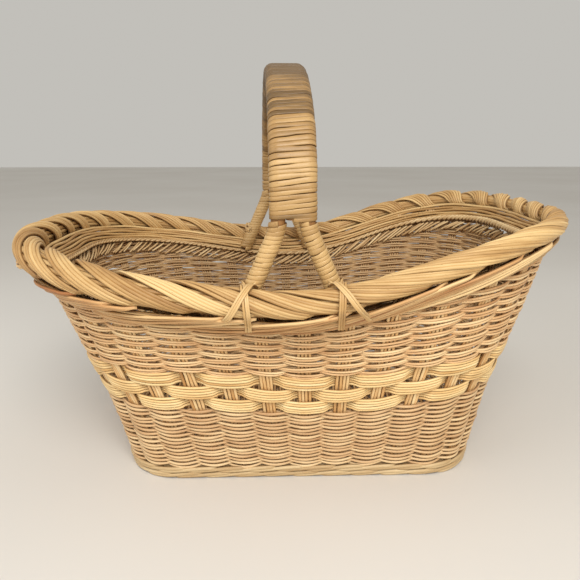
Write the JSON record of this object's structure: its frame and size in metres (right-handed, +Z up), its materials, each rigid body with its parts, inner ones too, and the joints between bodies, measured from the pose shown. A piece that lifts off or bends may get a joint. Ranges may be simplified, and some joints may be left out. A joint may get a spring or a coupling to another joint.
{
  "type": "woven market basket",
  "caption": "Oblong woven rattan basket with flared walls, a boat-shaped rolled rim, a flat ribbon band at the waist and a fixed wrapped bow handle on splayed legs.",
  "frame": {"origin": "on the ground plane, under the middle of the rim, which is the middle of the bounding box", "axes": "+X along the length towards the higher end, +Y from the front long side to the back one, +Z up"},
  "size_m": [0.477, 0.3518, 0.345],
  "materials": {
    "foot_rod": "satin, pale cream peeled rattan",
    "floor_rod": "satin, tan peeled rattan",
    "pale_rod": "satin, cream to pinkish tan rattan",
    "ribbon_rod": "satin, pale yellow rattan",
    "tan_rod": "satin, pinkish tan rattan",
    "wale_rod": "satin, honey rattan",
    "stake_rod": "satin, orange brown rattan",
    "border_rod": "satin, golden honey rattan",
    "inner_row_rod": "satin, light honey rattan",
    "core_rod": "satin, brown rattan pole",
    "wrap_cane": "semi-gloss, golden olive flat cane",
    "lashing_cane": "satin, pale straw flat cane"
  },
  "bodies": {
    "root": {"foot_wale_lower": "foot_rod", "foot_wale_upper": "foot_rod", "base_sticks": "floor_rod", "base_weave": "floor_rod", "lower_weave": "pale_rod", "waist_ribbon_lower": "ribbon_rod", "waist_ribbon_middle": "ribbon_rod", "waist_ribbon_upper": "ribbon_rod", "upper_weave": "tan_rod", "top_wale": "wale_rod", "stakes_front": "stake_rod", "stakes_right": "stake_rod", "stakes_back": "stake_rod", "stakes_left": "stake_rod", "border_front": "border_rod", "border_right": "border_rod", "border_back": "border_rod", "border_left": "border_rod", "inner_finishing_row": "inner_row_rod", "handle_rod_left": "core_rod", "handle_rod_right": "core_rod", "handle_filler_rod": "core_rod", "handle_wrap": "wrap_cane", "leg_wrap_front_left": "wrap_cane", "lashing_front_left": "lashing_cane", "leg_wrap_front_right": "wrap_cane", "lashing_front_right": "lashing_cane", "leg_wrap_back_left": "wrap_cane", "lashing_back_left": "lashing_cane", "leg_wrap_back_right": "wrap_cane", "lashing_back_right": "lashing_cane"}
  },
  "joints": []
}
